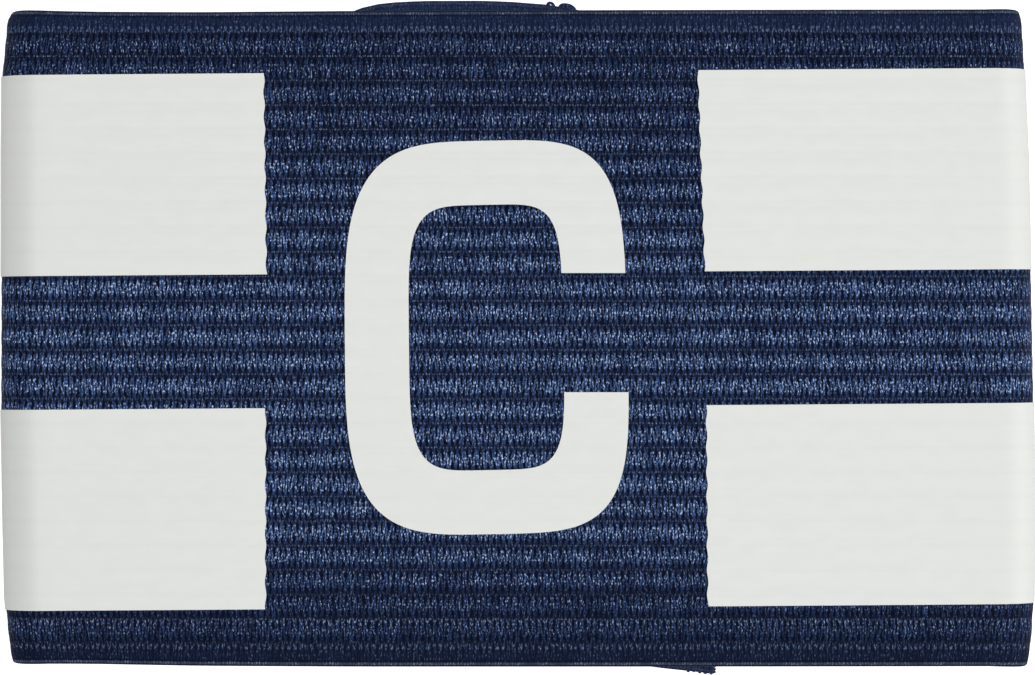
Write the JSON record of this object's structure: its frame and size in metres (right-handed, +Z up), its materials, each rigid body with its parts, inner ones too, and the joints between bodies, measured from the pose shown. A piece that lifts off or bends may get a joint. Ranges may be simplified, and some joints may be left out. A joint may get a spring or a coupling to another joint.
{
  "type": "captain's armband",
  "caption": "Ribbed elastic captain's armband, closed with a touch fastener and laid flat, with a block letter C and broad side bars in white film.",
  "frame": {"origin": "on the surface that the armband lies on, under the middle of its box", "axes": "+X along the ribs, towards the letter's open side; +Y across the band, towards the top of the letter; +Z up, out of the front"},
  "size_m": [0.1282, 0.0834, 0.0116],
  "materials": {
    "elastic": "woven, matt with a slight sheen",
    "film": "satin transfer film",
    "hook_tape": "brushed, matt"
  },
  "bodies": {
    "root": {"elastic_band": "elastic", "touch_fastener": "hook_tape", "bar_left_upper": "film", "bar_left_lower": "film", "bar_right_upper": "film", "bar_right_lower": "film", "letter_c": "film"}
  },
  "joints": []
}
